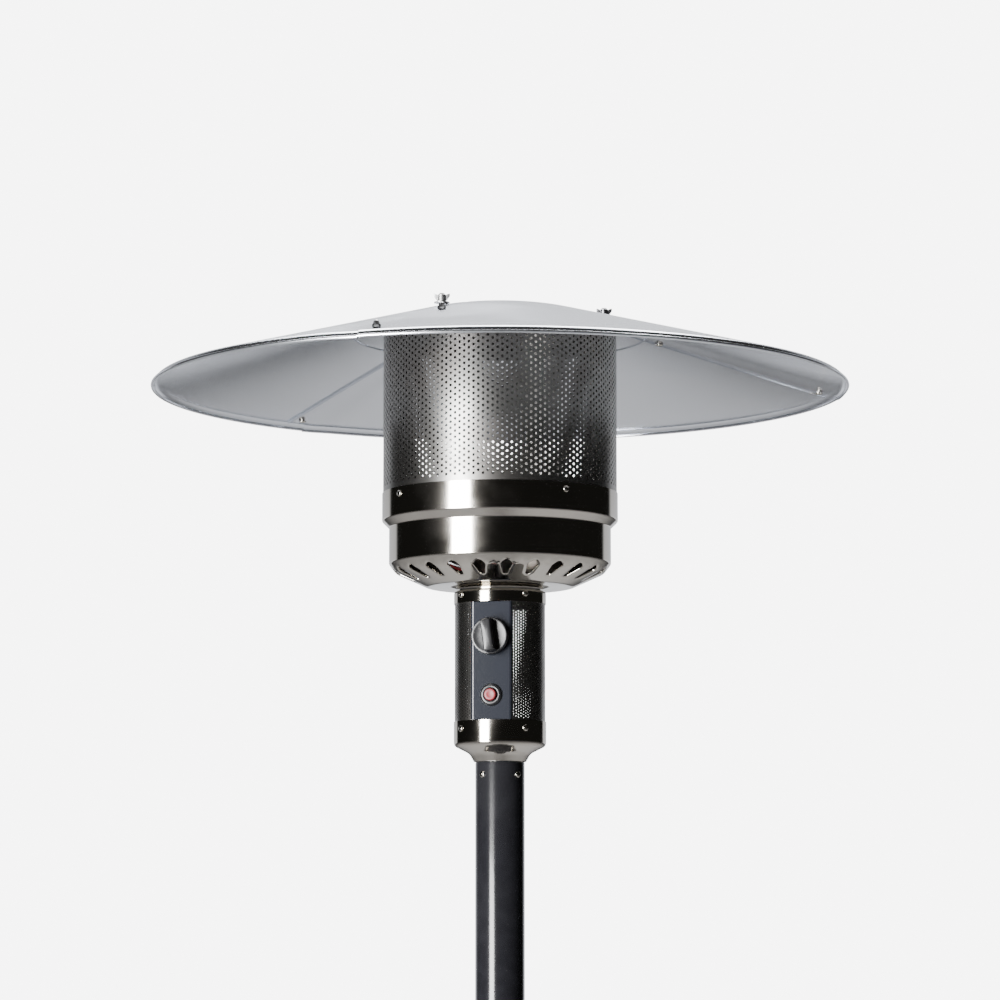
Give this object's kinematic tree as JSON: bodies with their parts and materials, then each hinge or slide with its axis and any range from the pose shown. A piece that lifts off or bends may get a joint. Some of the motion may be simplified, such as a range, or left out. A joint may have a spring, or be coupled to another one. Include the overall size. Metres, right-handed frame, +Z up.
{
  "type": "gas patio heater",
  "caption": "Free-standing outdoor gas heater: wide round reflector over a perforated emitter screen and burner bowl, a control housing on a post, and a lifting tank housing on a wheeled base.",
  "frame": {"origin": "on the ground under the middle of the post", "axes": "+Z up along the post; -Y towards the front, where the control panel looks, turned 12 degrees to -X; the wheels are at +Y"},
  "size_m": [0.813, 0.813, 2.2098],
  "materials": {
    "black_paint": "gloss black powder coat",
    "ballast_iron": "rough cast",
    "zinc_steel": "zinc plated",
    "polished_steel": "polished stainless steel",
    "perforated_steel": "satin stainless steel",
    "reflector_sheet": "bright rolled sheet",
    "plated_steel": "satin plated",
    "panel_steel": "satin dark grey",
    "black_plastic": "moulded black",
    "red_plastic": "moulded red",
    "tyre_rubber": "solid rubber",
    "lead_rubber": "silicone sleeve",
    "cast_alloy": "cast and drawn alloy",
    "valve_steel": "turned steel",
    "brass": "turned brass",
    "copper": "drawn copper",
    "insulator": "glazed ceramic"
  },
  "bodies": {
    "frame": {"axle_bracket": "black_paint", "axle_caps": "black_plastic", "base_pan": "black_paint", "base_weight": "ballast_iron", "burner_bowl": "polished_steel", "burner_crown": "plated_steel", "burner_head": "plated_steel", "burner_pipe": "cast_alloy", "control_panel": "panel_steel", "emitter_screen": "perforated_steel", "frame_bolts": "zinc_steel", "gas_valve": "cast_alloy", "head_screws": "polished_steel", "housing_cap": "polished_steel", "housing_cover": "perforated_steel", "igniter_body": "black_plastic", "igniter_electrode": "insulator", "igniter_nut": "zinc_steel", "ignition_lead": "lead_rubber", "inlet_fitting": "brass", "leg_foot_bolts": "zinc_steel", "main_jet": "brass", "neck_collar": "polished_steel", "neck_cup": "polished_steel", "neck_spigot": "plated_steel", "pilot_bracket": "plated_steel", "pilot_hood": "plated_steel", "pilot_tube": "cast_alloy", "post": "black_paint", "reflector_centre": "reflector_sheet", "reflector_sector_a": "reflector_sheet", "reflector_sector_b": "reflector_sheet", "reflector_sector_c": "reflector_sheet", "reflector_studs": "polished_steel", "screen_top": "perforated_steel", "seam_nuts": "polished_steel", "seam_screws": "polished_steel", "stud_spacers": "zinc_steel", "support_leg_a": "black_paint", "support_leg_b": "black_paint", "support_leg_c": "black_paint", "thermocouple": "copper", "tilt_switch": "black_plastic", "valve_screws": "zinc_steel", "venturi_stand": "plated_steel", "venturi_tube": "plated_steel", "wheel_axle": "zinc_steel", "wing_nuts": "polished_steel"},
    "tank_housing": {"tank_shell": "black_paint", "tank_lid": "black_paint", "tank_bush": "black_plastic", "lid_screws": "zinc_steel"},
    "valve_push": {"push_rod": "valve_steel"},
    "knob": {"control_knob": "black_plastic", "valve_stem": "valve_steel"},
    "button": {"igniter_button": "red_plastic"},
    "left_wheel": {"wheel_left_hub": "black_plastic", "wheel_left_tyre": "tyre_rubber"},
    "right_wheel": {"wheel_right_hub": "black_plastic", "wheel_right_tyre": "tyre_rubber"}
  },
  "joints": [
    {"name": "tank_housing_lift", "type": "slide", "parent": "frame", "child": "tank_housing", "axis": [0, 0, 1], "range_m": [0, 0.84]},
    {"name": "knob_push", "type": "slide", "parent": "frame", "child": "valve_push", "axis": [0.2079, 0.9781, 0], "range_m": [0, 0.004], "stiffness_N_per_m": 1200, "springref_m": -0.003},
    {"name": "knob_turn", "type": "hinge", "parent": "valve_push", "child": "knob", "pos_m": [-0.0104, -0.04891, 1.8215], "axis": [-0.2079, -0.9781, 0], "range_deg": [0, 180]},
    {"name": "igniter_press", "type": "slide", "parent": "frame", "child": "button", "axis": [0.2079, 0.9781, 0], "range_m": [0, 0.005], "stiffness_N_per_m": 800, "springref_m": -0.004},
    {"name": "left_wheel_spin", "type": "hinge", "parent": "frame", "child": "left_wheel", "pos_m": [-0.122, 0.268, 0.064], "axis": [1, 0, 0], "continuous": true},
    {"name": "right_wheel_spin", "type": "hinge", "parent": "frame", "child": "right_wheel", "pos_m": [0.122, 0.268, 0.064], "axis": [1, 0, 0], "continuous": true}
  ]
}
